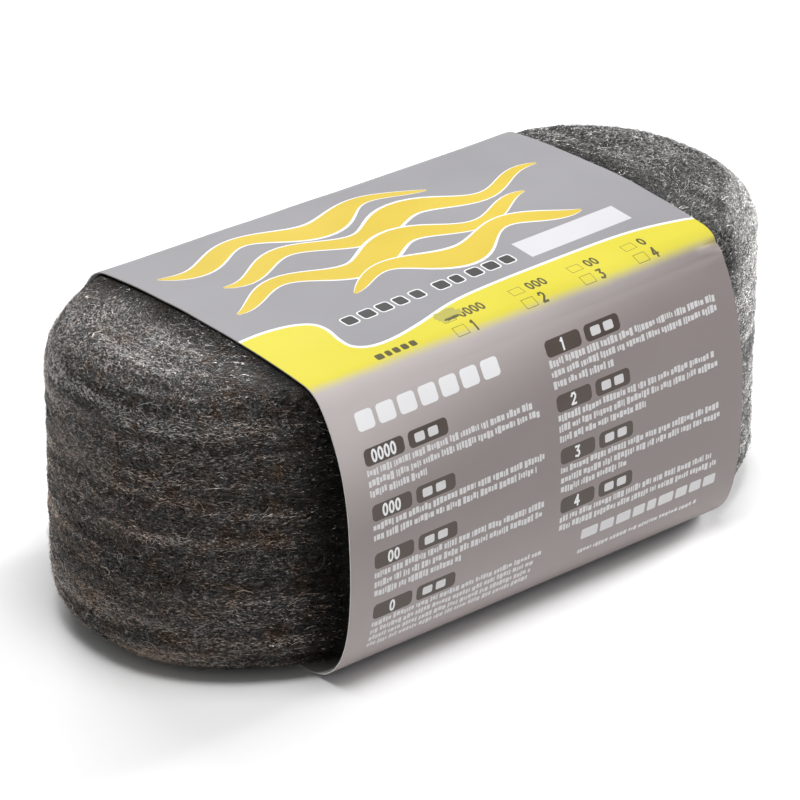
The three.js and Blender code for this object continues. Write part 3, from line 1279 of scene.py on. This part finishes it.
@dataclass
class WoolForm:
    """Surface of the wound roll, by its angle round the roll and its distance up the upright section."""

    sleeve: SleeveForm
    length: float = 162 * MM
    width: float = 90 * MM
    ends_power: float = 2.33
    edge: float = 9 * MM
    turn_pitch: float = 5.5 * MM
    turn_depth: float = 0.4 * MM
    bundle_pitch: float = 6 * MM
    bundle_depth: float = 0.3 * MM
    sway: float = 1.2 * MM
    sways: int = 3
    uneven: float = 0.12 * MM
    calm_inside: float = 4 * MM
    calm_outside: float = 8 * MM
    release: float = 8 * MM
    release_slope: float = 0.5
    shrink: float = 0.1 * MM
    angle_step: float = 0.004
    up_step: float = 0.25 * MM

    def __post_init__(self) -> None:
        """Measures the upright section and the waist round the belly."""
        self.height = self.sleeve.waist.height
        self.flat = self.width / 2 - self.edge
        self.wall = self.height - 2 * self.edge
        self.run = 2 * self.flat + math.pi * self.edge + self.wall
        belly = self.sleeve.points - (0, self.sleeve.waist.belly)
        self.bearing = np.arctan2(belly[:, 1], belly[:, 0])
        self.reach = np.hypot(belly[:, 0], belly[:, 1])
        self.unevenness = ((1.0, Lattice(22, 26, 46)), (0.6, Lattice(23, 90, 130)), (0.5, Lattice(21, 14, 9)))

    def section(self, up: np.ndarray) -> tuple[np.ndarray, np.ndarray, np.ndarray]:
        """Walks up the upright section from the foot's middle.

        Args:
            up: Distance along the section.

        Returns:
            Radius, level, and how far the surface faces up or down, from 0 on the wall to 1 on the flats.
        """
        quarter = math.pi / 2 * self.edge
        past = np.minimum(up, self.run - up)
        bend = np.clip((past - self.flat) / self.edge, 0, math.pi / 2)
        radius = np.minimum(past, self.flat) + self.edge * np.sin(bend)
        level = self.edge * (1 - np.cos(bend)) + np.maximum(past - self.flat - quarter, 0)
        return radius, np.where(up > self.run / 2, self.height - level, level), np.cos(bend)

    def outline(self, angle: np.ndarray) -> tuple[np.ndarray, np.ndarray]:
        """Draws the plan.

        Args:
            angle: Angle round the roll.

        Returns:
            Points of the outline, and its outward directions.
        """
        c, s = np.cos(angle), np.sin(angle)
        curve = 2 / self.ends_power
        along = self.length / 2 * signed_power(c, curve)
        point = np.stack([along, self.width / 2 * signed_power(s, curve)], -1)
        across = signed_power(s, 2 - curve) / self.width
        return point, unit(np.stack([signed_power(c, 2 - curve) / self.length, across], -1))

    def relief(self, angle: np.ndarray, up: np.ndarray) -> np.ndarray:
        """Gives how deep the surface lies: bundles on the wall, turns on the flats, and unevenness.

        Args:
            angle: Angle round the roll.
            up: Distance along the upright section.

        Returns:
            Depths.
        """
        u, v = angle / TURN, up / self.run
        radius, level, facing = self.section(up)
        bundle = (level + self.sway * np.sin(self.sways * angle)) / self.bundle_pitch
        turn = (self.width / 2 - radius) / self.turn_pitch + u
        bundles, turns = (0.5 - 0.5 * np.cos(TURN * phase) for phase in (bundle, turn))
        upright = np.sqrt(np.clip(1 - facing**2, 0, 1))
        depth = self.bundle_depth * bundles * upright + self.turn_depth * turns * facing
        return depth + self.uneven * sum(share * lattice.at(u, v) for share, lattice in self.unevenness)

    def place(
        self, angle: np.ndarray, up: np.ndarray, out: np.ndarray | float = 0.0, rough: bool = True
    ) -> np.ndarray:
        """Puts points onto the roll.

        Args:
            angle: Angle round the roll.
            up: Distance along the upright section.
            out: Distance out of the surface.
            rough: Whether the surface has its relief.

        Returns:
            Points in the pad's frame.
        """
        radius, level, facing = self.section(up)
        point, outward = self.outline(angle)
        rim = np.minimum(self.width / 2 - radius, self.edge)
        plan = (point - outward * rim[..., None]) * np.minimum(radius / self.flat, 1)[..., None]
        mouth = self.sleeve.length / 2
        deep = self.shrink
        if rough:
            bare = smooth(mouth - self.calm_inside, mouth + self.calm_outside, np.abs(plan[..., 0]))
            deep = deep + self.relief(angle, up) * bare
        move = out - deep
        tilt = np.sqrt(np.clip(1 - facing**2, 0, 1))
        plan = plan + outward * (move * tilt)[..., None]
        level = level + np.where(up > self.run / 2, 1, -1) * move * facing
        wide, tall = self.sleeve.taper(plan[..., 0])
        across = plan[..., 1] / wide
        belly = self.sleeve.waist.belly
        far = np.hypot(across, level - belly)
        bearing = np.arctan2(level - belly, np.abs(across))
        slack = np.maximum(np.abs(plan[..., 0]) - mouth - self.release, 0) * self.release_slope
        held = np.minimum((np.interp(bearing, self.bearing, self.reach) + slack) / np.maximum(far, TINY), 1)
        foot = self.sleeve.fit + self.sleeve.paper
        stands = foot + (belly + (level - belly) * held) * tall
        return np.stack([plan[..., 0], plan[..., 1] * held, stands], -1)

    def normal(self, angle: np.ndarray, up: np.ndarray) -> tuple[np.ndarray, np.ndarray, np.ndarray]:
        """Measures the smooth surface.

        Args:
            angle: Angle round the roll.
            up: Distance along the upright section.

        Returns:
            Outward normals, and how long a step of each coordinate is.
        """
        turns, climbs = (self.angle_step, -self.angle_step), (self.up_step, -self.up_step)
        ahead, behind = (self.place(angle + step, up, rough=False) for step in turns)
        above, below = (self.place(angle, up + step, rough=False) for step in climbs)
        by_angle, by_up = (ahead - behind) / (2 * self.angle_step), (above - below) / (2 * self.up_step)
        normal = unit(np.cross(by_angle, by_up))
        return normal, np.linalg.norm(by_angle, axis=-1), np.linalg.norm(by_up, axis=-1)


@dataclass(frozen=True)
class WoolFinish:
    """Matted steel: near black between the strands, which is painted shade in the wool's depth, with streaks
    along the turns, brown tints, bright specks that are painted glints, and painted shade next to the
    sleeve's mouths.
    """

    # dark is near black, painted shade between the strands.
    dark: Colour = (0.004, 0.0036, 0.0033)
    middle: Colour = (0.05, 0.048, 0.046)
    light: Colour = (0.6, 0.595, 0.59)
    brown: Colour = (1.0, 0.70, 0.52)
    tones: tuple[float, float, float] = (0.4, 0.52, 0.64)
    streak_scale: Point = (190, 420)
    hair_scale: Point = (420, 1500)
    speck_scale: float = 2600
    streak_share: float = 0.3
    hair_share: float = 0.4
    speck_share: float = 0.3
    rust_scale: float = 260
    rust: Limits = (0.45, 0.65)
    # Painted shade: the ground darkens next to the sleeve's mouths.
    mouth: float = 52 * MM
    ground_shade_reach: float = 7 * MM
    ground_shade_dark: float = 0.75
    metallic: float = 0.8
    roughness: float = 0.5
    relief: float = 0.4 * MM

    def build(self) -> bpy.types.Material:
        """Makes the material of the matted ground.

        Returns:
            The material.
        """
        shader = Shader("matted_steel_wool")
        map_place, place = shader.mapped(), shader.place()
        streak = shader.noise(1, 5, shader.stretched(map_place, self.streak_scale), 0.65)
        hair = shader.noise(1, 4, shader.stretched(map_place, self.hair_scale), 0.7)
        speck = shader.noise(self.speck_scale, 3, place, 0.7)
        tone = shader.maths("MULTIPLY", speck, self.speck_share)
        tone = shader.maths("MULTIPLY_ADD", streak, self.streak_share, tone)
        tone = shader.maths("MULTIPLY_ADD", hair, self.hair_share, tone)
        # The near black end of the ramp is painted shade, and its brightest specks are painted glints.
        steel = shader.ramp(tone, tuple(zip(self.tones, (self.dark, self.middle, self.light))))
        rust_noise = shader.noise(self.rust_scale, 3, place, 0.6)
        rust = shader.ramp(rust_noise, tuple(zip(self.rust, ((0, 0, 0), (1, 1, 1)))))
        # The brown is strongest towards the shaded -X end: partly the steel's own brown, partly painted
        # shade.
        x = shader.split(place)[0]
        near = shader.ranged(x, self.mouth, -self.mouth)
        tinted = shader.mix(1.0, steel, self.brown, "MULTIPLY")
        colour = shader.mix(shader.maths("MULTIPLY", rust, near), steel, tinted)
        # Painted shade next to the sleeve's mouths.
        along = shader.maths("ABSOLUTE", x)
        mouth_shade = shader.ranged(along, self.mouth, self.mouth + self.ground_shade_reach, self.ground_shade_dark, 0.0)
        shader.set(Base_Color=shader.mix(mouth_shade, colour, self.dark))
        shader.set(Metallic=self.metallic, Roughness=self.roughness)
        shader.bump(tone, self.relief, 1.0)
        return shader.material


@dataclass(frozen=True)
class StrandFinish:
    """Bare steel strands: from dark to bright across the map, from clean to brown up the map."""

    clean: tuple[tuple[float, Colour], ...] = (
        (0.0, (0.010, 0.010, 0.010)),
        (0.4, (0.09, 0.089, 0.088)),
        (0.7, (0.5, 0.497, 0.495)),
        (1.0, (0.98, 0.977, 0.975)),
    )
    brown: Colour = (1.0, 0.76, 0.60)
    roughness: float = 0.28

    def build(self) -> bpy.types.Material:
        """Makes the material, whose tone and tint are read from the strand's place on the map.

        Returns:
            The material.
        """
        shader = Shader("steel_strands")
        spot = shader.split(shader.mapped())
        steel = shader.ramp(spot[0], self.clean)
        tinted = shader.mix(1.0, steel, self.brown, "MULTIPLY")
        shader.set(Base_Color=shader.mix(spot[1], steel, tinted))
        shader.set(Metallic=1.0, Roughness=self.roughness)
        return shader.material


class Lay(Enum):
    """Which part of the roll a set of strands lies on, and how."""

    WALL = "wall"
    FLAT = "flat"
    LOOSE = "loose"


@dataclass(frozen=True)
class StrandSet:
    """One set of strands: where they lie, how many, and the limits of their sizes.

    A strand has a length and a radius, lies at a height over the ground and arches up from it. Its heading
    strays from the turns by spread and it bends by curl. It has as many rings of points between its tips as
    rings says, and gleam makes it lighter.
    """

    name: str
    lay: Lay
    count: int
    seed: int
    length: Limits
    height: Limits
    arch: Limits
    spread: float
    radius: Limits = (0.034 * MM, 0.07 * MM)
    rings: int = 1
    curl: float = 0.5
    gleam: float = 0.0


@dataclass
class StrandTone:
    """How light and how brown each strand is, by its place: near is the -X end and far is the +X end.

    The tone holds painted light: lighter up the wall, lighter at the +X end and more so near its tip, a
    little darker on the crown, painted shade next to the sleeve's mouths and painted glints on a share of the
    strands; the rest of it is random. The brown is partly random and partly painted shade, placed low down
    and at the -X end. Levels are shares of the roll's height, and tones and tints run from 0 to 1.
    """

    form: WoolForm
    base: float = 0.32
    # near and far paint the +X end lighter than the -X end.
    near: float = 0.085
    far: float = 0.215
    streak: float = 0.46
    wisp: float = 0.3
    sway: float = 0.03
    far_streak: float = 0.4
    # Painted shade next to the sleeve's mouths.
    mouth_shade_strength: float = 0.42
    near_top_shade: float = 0.3
    near_top_shade_levels: Limits = (0.75, 0.95)
    strand_shade_reach: float = 6 * MM
    top_reach: float = 6 * MM
    top_levels: Limits = (0.7, 1.0)
    # upper, crown and rim paint light up the wall, a little less on the crown, and near the +X tip.
    upper: float = 0.2
    upper_levels: Limits = (0.48, 0.9)
    crown: float = 0.07
    crown_levels: Limits = (0.74, 0.94)
    rim: float = 0.14
    rim_zone: Limits = (64 * MM, 80 * MM)
    rim_levels: Limits = (0.85, 0.5)
    glints: float = 0.1
    near_glint: float = 0.72
    far_glint: float = 0.3
    spread: float = 0.44
    near_spread: float = 0.64
    far_spread: float = 0.52
    # brown and clean place the brown low down and at the -X end, partly as painted shade.
    brown: float = 0.6
    clean: float = 0.5
    clean_levels: Limits = (0.62, 0.95)
    brown_streak: float = 0.3
    brown_spread: float = 0.25
    most: float = 0.999

    def __post_init__(self) -> None:
        """Draws the streaks of light and dark strands."""
        self.streaks = Lattice(31, 16, 30)
        self.wisps = Lattice(32, 22, 84)

    def draw(
        self, rng: np.random.Generator, middle: np.ndarray, gleam: float
    ) -> tuple[np.ndarray, np.ndarray]:
        """Draws the tones and tints of strands.

        Args:
            rng: Draws what differs from strand to strand.
            middle: Middle of each strand.
            gleam: How much lighter they are than others.

        Returns:
            Tones, from dark to bright, and tints, from clean to brown.
        """
        x, y, z = middle.T
        far_end = x > 0
        u, v = np.arctan2(y / self.form.width, x / self.form.length) / TURN, z / self.form.height
        wound = v + self.sway * np.cos(TURN * u)
        streak = self.streak * self.streaks.at(u, wound) + self.wisp * self.wisps.at(u, wound)
        streak = streak * np.where(far_end, self.far_streak, 1)
        # Painted shade: strands darker next to the sleeve's mouths, reaching further and deeper on the top at
        # the -X end.
        mouth = self.form.sleeve.length / 2
        mouth_shade = mouth + self.strand_shade_reach + self.top_reach * smooth(*self.top_levels, v)
        mouth_shade_strength = self.mouth_shade_strength + self.near_top_shade * smooth(*self.near_top_shade_levels, v) * (x < 0)
        shade = mouth_shade_strength * smooth(mouth_shade, mouth, np.abs(x))
        # Painted light: lighter up the wall, at the +X end and near its tip, a little darker on the crown.
        painted_light_tone = self.upper * smooth(*self.upper_levels, v) + np.where(far_end, self.far, self.near)
        painted_light_tone = painted_light_tone + self.rim * smooth(*self.rim_zone, x) * smooth(*self.rim_levels, v)
        painted_light_tone = painted_light_tone - self.crown * smooth(*self.crown_levels, v)
        glint = rng.uniform(0, 1, len(x)) < self.glints
        bright = np.where(far_end, self.far_glint, self.near_glint) * glint
        spread = rng.normal(0, self.spread, len(x)) * np.where(far_end, self.far_spread, self.near_spread)
        tone = self.base + streak - shade + painted_light_tone + spread + bright + gleam
        # Where the brown lies is painted shade: browner low down and at the -X end, none on the lit top or at
        # the +X end; the rest is random.
        tint = self.brown - self.clean * smooth(*self.clean_levels, v) - 1.0 * far_end
        tint = tint + self.brown_streak * self.streaks.at(v, u) + rng.normal(0, self.brown_spread, len(x))
        return np.clip(tone, 0, self.most), np.clip(tint, 0, self.most)


@dataclass
class WoolRoll:
    """The wound roll: a matted ground under thousands of single strands."""

    form: WoolForm
    columns: int = 290
    rows: int = 170
    end_pull: float = 0.25
    cap: float = 0.62
    seam: Limits = (0.4, 0.6)
    spot_columns: int = 720
    spot_rows: int = 301
    spot_cap: float = 0.3
    under_sleeve: float = 3.5 * MM
    wall_facing: Limits = (0.35, 0.95)
    wall_share: float = 0.9
    flat_facing: Limits = (0.1, 0.7)
    end_zone: Limits = (56 * MM, 76 * MM)
    end_spread: float = 0.6
    least_run: float = 2 * MM
    least_rise: float = 0.2
    tip_sink: float = 0.2 * MM
    loose_power: float = 1.5
    loose_arch: Limits = (0.2, 1.6)
    tallest: float = 3 * MM
    off_floor: float = 0.1 * MM
    sides: int = 3
    map_tones: int = 64
    map_tints: int = 8
    map_inset: float = 0.1
    map_sides: tuple[float, float, float] = (0.15, 0.5, 0.85)
    sets: tuple[StrandSet, ...] = (
        StrandSet(
            "wool_strands_wall_a", Lay.WALL, 33000, 101, length=(0.8 * MM, 2.4 * MM), height=(0, 0.2 * MM),
            arch=(0, 0.1 * MM), spread=0.16,
        ),
        StrandSet(
            "wool_strands_wall_b", Lay.WALL, 33000, 102, length=(0.5 * MM, 1.7 * MM),
            height=(0.05 * MM, 0.25 * MM), arch=(0, 0.12 * MM), spread=0.3,
        ),
        StrandSet(
            "wool_strands_flat", Lay.FLAT, 33000, 103, length=(0.5 * MM, 1.7 * MM), height=(0, 0.25 * MM),
            arch=(0, 0.12 * MM), spread=1.0,
        ),
        StrandSet(
            "wool_strands_long", Lay.LOOSE, 6000, 104, length=(1.6 * MM, 5 * MM),
            height=(0.05 * MM, 0.3 * MM), arch=(0, 0.7 * MM), spread=0.4,
            radius=(0.02 * MM, 0.034 * MM), rings=3,
        ),
        StrandSet(
            "wool_strands_stray", Lay.LOOSE, 18, 105, length=(4 * MM, 8 * MM),
            height=(0.2 * MM, 0.4 * MM), arch=(0.1 * MM, 0.8 * MM), spread=0.8,
            radius=(0.035 * MM, 0.05 * MM), rings=9, curl=0.8, gleam=0.3,
        ),
    )
    tone: StrandTone = field(init=False)

    def __post_init__(self) -> None:
        """Sets up the strands' tones."""
        self.tone = StrandTone(self.form)

    def build(self) -> list[bpy.types.Object]:
        """Makes the ground and every set of strands.

        Returns:
            The pieces, the ground first.
        """
        ground = self.ground()
        finish = StrandFinish().build()
        return [ground, *(self.strands(item, finish) for item in self.sets)]

    def ground(self) -> bpy.types.Object:
        """Makes the closed ground of matted wool.

        Returns:
            The ground as one piece.
        """
        around = np.linspace(0, TURN, self.columns, endpoint=False)
        angle = around - self.end_pull * np.sin(2 * around)
        inner, run = self.cap * self.form.flat, self.form.run
        up = np.concatenate([[inner / 2], np.linspace(inner, run - inner, self.rows - 2), [run - inner / 2]])
        grid_a, grid_u = np.meshgrid(angle, up, indexing="ij")
        points = self.form.place(grid_a, grid_u).reshape(-1, 3)
        poles = self.form.place(np.zeros(2), np.array([0, run]))
        number = np.arange(self.columns * self.rows).reshape(self.columns, self.rows)
        following = np.roll(number, -1, axis=0)
        corners = [number[:, :-1], following[:, :-1], following[:, 1:], number[:, 1:]]
        quads = np.stack(corners, -1).reshape(-1, 4)
        low, high = np.full(self.columns, len(points)), np.full(self.columns, len(points) + 1)
        bottom = np.stack([low, following[:, 0], number[:, 0]], -1)
        top = np.stack([high, number[:, -1], following[:, -1]], -1)
        faces = np.concatenate([quads[:, [0, 1, 2]], quads[:, [0, 2, 3]], bottom, top])
        mesh = new_mesh("wool_ground", np.concatenate([points, poles]), faces)
        share_u = np.append(np.repeat(np.arange(self.columns) / self.columns, self.rows), [0.5, 0.5])
        share_v = np.append(np.tile(up / run, self.columns), [0, 1])
        corner_u = share_u[faces]
        over_seam = (np.ptp(corner_u, axis=1) > self.seam[1])[:, None] & (corner_u < self.seam[0])
        corner_u = np.where(over_seam, corner_u + 1, corner_u)
        set_map(mesh, np.stack([corner_u.ravel(), share_v[faces].ravel()], -1))
        ground = new_object("wool_roll", mesh, [WoolFinish().build()])
        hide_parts("steel_wool_roll")
        return ground

    def spots(self, rng: np.random.Generator, item: StrandSet) -> tuple[np.ndarray, np.ndarray]:
        """Draws evenly spread places on the part of the roll that shows.

        Args:
            rng: Draws the places.
            item: The set that needs them.

        Returns:
            Angles and distances up the section.
        """
        angle = np.linspace(0, TURN, self.spot_columns + 1)[:-1]
        cap = self.spot_cap * self.form.flat
        up = np.linspace(cap, self.form.run - cap, self.spot_rows)
        grid_a, grid_u = np.meshgrid(angle, up, indexing="ij")
        x = self.form.place(grid_a, grid_u, rough=False)[..., 0]
        _, by_angle, by_up = self.form.normal(grid_a, grid_u)
        facing = self.form.section(grid_u)[2]
        weight = by_angle * by_up * (np.abs(x) > self.form.sleeve.length / 2 - self.under_sleeve)
        if item.lay is Lay.WALL:
            weight = weight * (1 - self.wall_share * smooth(*self.wall_facing, facing))
        elif item.lay is Lay.FLAT:
            weight = weight * smooth(*self.flat_facing, facing)
        share = np.cumsum(weight.ravel())
        chosen = np.searchsorted(share, rng.uniform(0, share[-1], item.count))
        i, j = np.unravel_index(np.minimum(chosen, weight.size - 1), weight.shape)
        jitter = rng.uniform(-0.5, 0.5, (2, item.count))
        return angle[i] + jitter[0] * angle[1], up[j] + jitter[1] * (up[1] - up[0])

    def strands(self, item: StrandSet, finish: bpy.types.Material) -> bpy.types.Object:
        """Makes one set of strands, each a closed three-sided thread with pointed ends.

        Args:
            item: The set.
            finish: The strands' material.

        Returns:
            The set as one piece.
        """
        rng = np.random.default_rng(item.seed)
        angle, up = self.spots(rng, item)
        count = item.count
        sizes = (item.length, item.radius, item.height, item.arch)
        length, radius, height, arch = (rng.uniform(*limits, count)[:, None] for limits in sizes)
        end = smooth(*self.end_zone, np.abs(self.form.place(angle, up, rough=False)[:, 0]))
        stray = rng.normal(0, item.spread, count) * (1 + self.end_spread * end)
        heading = stray + rng.integers(0, 2, count) * math.pi
        bend = rng.normal(0, item.curl, count)
        _, by_angle, by_up = self.form.normal(angle, up)
        share = np.linspace(-0.5, 0.5, item.rings + 2)
        way = heading[:, None] + bend[:, None] * share * 2
        step = length * share
        knot_a = angle[:, None] + step * np.cos(way) / np.maximum(by_angle, self.least_run)[:, None]
        rise = step * np.sin(way) / np.maximum(by_up, self.least_rise)[:, None]
        knot_u = np.clip(up[:, None] + rise, 0, self.form.run)
        if item.lay is Lay.LOOSE:
            lifted = rng.uniform(*self.loose_arch, count)[:, None]
            lift = height + arch * (share + 0.5) ** self.loose_power * lifted
        else:
            lift = height + arch * (1 - 4 * share**2) - self.tip_sink * (np.abs(share) == 0.5)
        line = self.form.place(knot_a, knot_u, np.minimum(lift, self.tallest))
        line[..., 2] = np.maximum(line[..., 2], self.off_floor)
        along = unit(np.gradient(line, axis=1))
        first = unit(np.cross(along, self.form.normal(knot_a, knot_u)[0]))
        second = np.cross(first, along)
        points, pattern = self.threads(line, first, second, radius)
        size = points.shape[1]
        faces = (pattern[None] + (np.arange(count) * size)[:, None, None]).reshape(-1, 3)
        mesh = new_mesh(item.name, points.reshape(-1, 3), faces)
        tone, tint = self.tone.draw(rng, line[:, (item.rings + 2) // 2], item.gleam)
        self.map_threads(mesh, pattern, tone, tint, item.rings)
        return new_object(item.name, mesh, [finish])

    def threads(
        self, line: np.ndarray, first: np.ndarray, second: np.ndarray, radius: np.ndarray
    ) -> tuple[np.ndarray, np.ndarray]:
        """Sweeps three-sided threads along lines.

        Args:
            line: Knots of each strand.
            first: Direction across each strand.
            second: Direction out of the roll at each strand.
            radius: Radius of each strand.

        Returns:
            Points of each thread, from tip to tip, and the triangles of one thread.
        """
        sides, rings = self.sides, line.shape[1] - 2
        turn = (np.arange(sides) * TURN / sides)[:, None]
        aside = first[:, 1:-1, None, :] * np.cos(turn) + second[:, 1:-1, None, :] * np.sin(turn)
        body = line[:, 1:-1, None, :] + aside * radius[:, :, None, None]
        body = body.reshape(len(line), rings * sides, 3)
        points = np.concatenate([line[:, :1], body, line[:, -1:]], axis=1)
        last = 1 + sides * (rings - 1)
        faces = []
        for k in range(sides):
            n = (k + 1) % sides
            faces.append((0, 1 + n, 1 + k))
            for ring in range(rings - 1):
                a, b = 1 + sides * ring + k, 1 + sides * ring + n
                faces += [(a, b, b + sides), (a, b + sides, a + sides)]
            faces.append((last + sides, last + k, last + n))
        return points, np.array(faces)

    def map_threads(
        self, mesh: bpy.types.Mesh, pattern: np.ndarray, tone: np.ndarray, tint: np.ndarray, rings: int
    ) -> None:
        """Lays each thread into the cell of the map that has its tone and tint.

        Args:
            mesh: Mesh of the threads.
            pattern: Triangles of one thread.
            tone: Tone of each thread.
            tint: Tint of each thread.
            rings: Rings of points between its tips.
        """
        column, row = np.floor(tone * self.map_tones), np.floor(tint * self.map_tints)
        middle = self.map_sides[1]
        knot = np.concatenate([[0], np.repeat(np.arange(1, rings + 1), self.sides), [rings + 1]])
        step = knot / (rings + 1)
        side = np.concatenate([[middle], np.tile(self.map_sides, rings), [middle]])
        corner = pattern.ravel()
        high = self.map_inset + (1 - 2 * self.map_inset) * step[corner]
        map_u = (column[:, None] + side[corner]) / self.map_tones
        map_v = (row[:, None] + high) / self.map_tints
        set_map(mesh, np.stack([map_u, map_v], -1).reshape(-1, 2))


# Studio


@dataclass(frozen=True)
class Lamp:
    """One soft lamp: where it hangs, how large it is and how strong."""

    name: str
    place: tuple[float, float, float]
    size: float
    power: float

    def hang(self, aim: Vector) -> None:
        """Hangs the lamp.

        Args:
            aim: Point that it shines at.
        """
        light = bpy.data.lights.new(self.name, "AREA")
        light.energy, light.size = self.power, self.size
        lamp = bpy.data.objects.new(self.name, light)
        lamp.location = self.place
        lamp.rotation_euler = (aim - lamp.location).to_track_quat("-Z", "Y").to_euler()
        bpy.context.scene.collection.objects.link(lamp)


@dataclass
class Studio:
    """Pale floor, soft lamps and the camera at the photograph's angle."""

    azimuth: float = -39.14
    elevation: float = 26.75
    distance: float = 1.04486
    aim: tuple[float, float, float] = (14.97 * MM, 21.54 * MM, 16.61 * MM)
    lens: float = 226.04
    sensor: float = 36
    sight: float = 100
    floor_half: float = 6.0
    floor_tone: float = 0.93
    floor_roughness: float = 0.8
    lamps: tuple[Lamp, ...] = (
        Lamp("top_lamp", (-0.1, -0.15, 1.15), 0.5, 9.5),
        Lamp("back_lamp", (0.2, 0.85, 0.75), 0.5, 4.5),
        Lamp("side_lamp", (1.1, 0.02, 0.32), 0.4, 18.0),
    )
    lamp_aim: tuple[float, float, float] = (0, 0, 30 * MM)
    ambient: float = 0.25

    def build(self) -> None:
        """Sets up the floor, the lamps, the air and the camera."""
        self.floor()
        for lamp in self.lamps:
            lamp.hang(Vector(self.lamp_aim))
        world = bpy.data.worlds.new("studio_air")
        world.use_nodes = True
        air = world.node_tree.nodes["Background"]
        air.inputs["Color"].default_value = (1, 1, 1, 1)
        air.inputs["Strength"].default_value = self.ambient
        bpy.context.scene.world = world
        bpy.context.scene.view_settings.view_transform = "Standard"
        self.camera()

    def floor(self) -> None:
        """Lays a plain pale floor under the pad."""
        half, tone = self.floor_half, self.floor_tone
        corners = np.array([(-half, -half, 0), (half, -half, 0), (half, half, 0), (-half, half, 0)])
        mesh = new_mesh("studio_floor", corners, np.array([[0, 1, 2, 3]]))
        shader = Shader("pale_floor")
        shader.set(Base_Color=(tone, tone, tone, 1), Roughness=self.floor_roughness)
        mesh.materials.append(shader.material)
        floor = bpy.data.objects.new("studio_floor", mesh)
        bpy.context.scene.collection.objects.link(floor)

    def camera(self) -> None:
        """Places the camera."""
        turn, tilt = math.radians(self.azimuth), math.radians(self.elevation)
        back = Vector((math.sin(turn) * math.cos(tilt), -math.cos(turn) * math.cos(tilt), math.sin(tilt)))
        lens = bpy.data.cameras.new("photo_camera")
        lens.lens, lens.sensor_width, lens.clip_end = self.lens, self.sensor, self.sight
        camera = bpy.data.objects.new("photo_camera", lens)
        camera.location = Vector(self.aim) + back * self.distance
        camera.rotation_euler = (-back).to_track_quat("-Z", "Y").to_euler()
        bpy.context.scene.collection.objects.link(camera)
        bpy.context.scene.camera = camera


def main() -> None:
    """Builds the sleeve, the roll and the studio, and notes the size of the whole."""
    logging.basicConfig(level=logging.INFO, format="%(name)s: %(message)s")
    sleeve = PaperSleeve(Waist())
    pieces = [sleeve.build()]
    pieces += WoolRoll(WoolForm(sleeve.form)).build()
    for piece in pieces:
        log.info("%s: %d faces", piece.name, len(piece.data.polygons))
    Studio().build()


if __name__ == "__main__":
    main()
